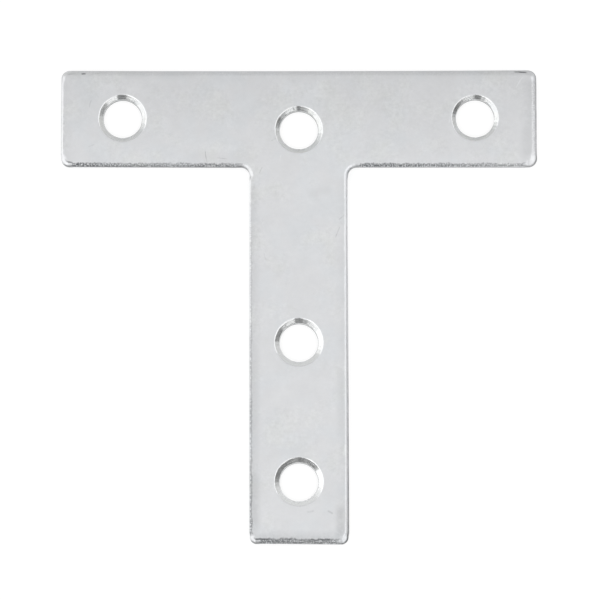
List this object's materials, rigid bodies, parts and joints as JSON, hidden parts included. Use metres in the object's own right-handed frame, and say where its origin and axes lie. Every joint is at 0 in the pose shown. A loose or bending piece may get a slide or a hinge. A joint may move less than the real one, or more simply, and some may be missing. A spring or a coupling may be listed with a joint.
{
  "type": "tee joining plate",
  "caption": "Flat T-shaped steel joining plate with countersunk screw holes along its crossbar and stem, rounded corners, a rolled-over front edge and a flat back.",
  "frame": {"origin": "on the axis of the junction hole, in the plane of the back face", "axes": "+X along the crossbar, -Y down the stem, +Z out of the countersunk front face"},
  "size_m": [0.08, 0.08, 0.0015],
  "materials": {
    "zinc_plated_steel": "satin bright zinc plating over stamped steel, with bright countersinks and sheared edges"
  },
  "bodies": {
    "root": {"tee_plate": "zinc_plated_steel"}
  },
  "joints": []
}
